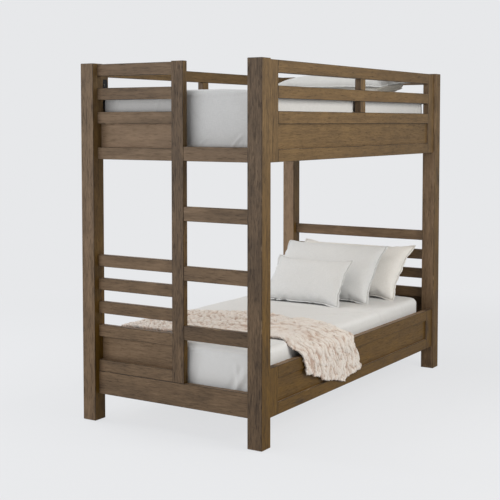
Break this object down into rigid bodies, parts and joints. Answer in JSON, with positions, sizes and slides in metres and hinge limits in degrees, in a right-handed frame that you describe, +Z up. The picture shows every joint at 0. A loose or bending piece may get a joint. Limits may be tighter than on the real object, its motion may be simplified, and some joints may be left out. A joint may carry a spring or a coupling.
{
  "type": "bunk bed with ladder",
  "caption": "Wooden bunk bed with square posts, slatted ends over flat panels, guards along both sides, a fixed ladder at the foot end, and bedding.",
  "frame": {"origin": "on the floor, at the centre of the four posts", "axes": "+Z up; +Y along the bed to the head end, so the foot end with the ladder faces -Y; +X across the bed, to the right of someone who faces the foot end"},
  "size_m": [1.079, 2.12, 1.829],
  "materials": {
    "stained_wood": "brushed open grain, matt grey-brown stain",
    "support_pine": "plain sawn, unstained",
    "bracket_steel": "black powder coat",
    "bolt_steel": "black zinc",
    "glide_nylon": "moulded",
    "low_sheet": "plain woven cotton, fitted",
    "upper_sheet": "plain woven cotton, fitted",
    "white_linen": "plain linen with a corded edge",
    "sand_linen": "slubbed linen with a corded edge",
    "throw_knit": "ruched deep pile"
  },
  "bodies": {
    "root": {"back_pillow": "sand_linen", "bracket_bolts": "bolt_steel", "corner_brackets": "bracket_steel", "floor_glides": "glide_nylon", "foot_base_rail": "stained_wood", "foot_left_post": "stained_wood", "foot_low_bottom_rail": "stained_wood", "foot_low_panel": "stained_wood", "foot_low_slats": "stained_wood", "foot_low_top_rail": "stained_wood", "foot_right_post": "stained_wood", "foot_upper_bottom_rail": "stained_wood", "foot_upper_panel": "stained_wood", "foot_upper_slats": "stained_wood", "foot_upper_top_rail": "stained_wood", "guard_blocks": "stained_wood", "head_base_rail": "stained_wood", "head_left_post": "stained_wood", "head_low_bottom_rail": "stained_wood", "head_low_panel": "stained_wood", "head_low_slats": "stained_wood", "head_low_top_rail": "stained_wood", "head_right_post": "stained_wood", "head_upper_bottom_rail": "stained_wood", "head_upper_panel": "stained_wood", "head_upper_slats": "stained_wood", "head_upper_top_rail": "stained_wood", "ladder_high_rung": "stained_wood", "ladder_low_rung": "stained_wood", "ladder_middle_rung": "stained_wood", "ladder_post": "stained_wood", "ladder_top_step": "stained_wood", "left_guard_bottom_rail": "stained_wood", "left_guard_panel": "stained_wood", "left_guard_slats": "stained_wood", "left_guard_stiles": "stained_wood", "left_guard_top_rail": "stained_wood", "left_side_bottom_rail": "stained_wood", "left_side_panel": "stained_wood", "left_side_stiles": "stained_wood", "left_side_top_rail": "stained_wood", "low_mattress": "low_sheet", "low_support_slats": "support_pine", "lumbar_pillow": "white_linen", "middle_pillow": "white_linen", "right_guard_bottom_rail": "stained_wood", "right_guard_panel": "stained_wood", "right_guard_slats": "stained_wood", "right_guard_stiles": "stained_wood", "right_guard_top_rail": "stained_wood", "right_side_bottom_rail": "stained_wood", "right_side_panel": "stained_wood", "right_side_stiles": "stained_wood", "right_side_top_rail": "stained_wood", "support_cleats": "support_pine", "throw": "throw_knit", "upper_back_pillow": "sand_linen", "upper_front_pillow": "white_linen", "upper_mattress": "upper_sheet", "upper_support_slats": "support_pine"}
  },
  "joints": []
}
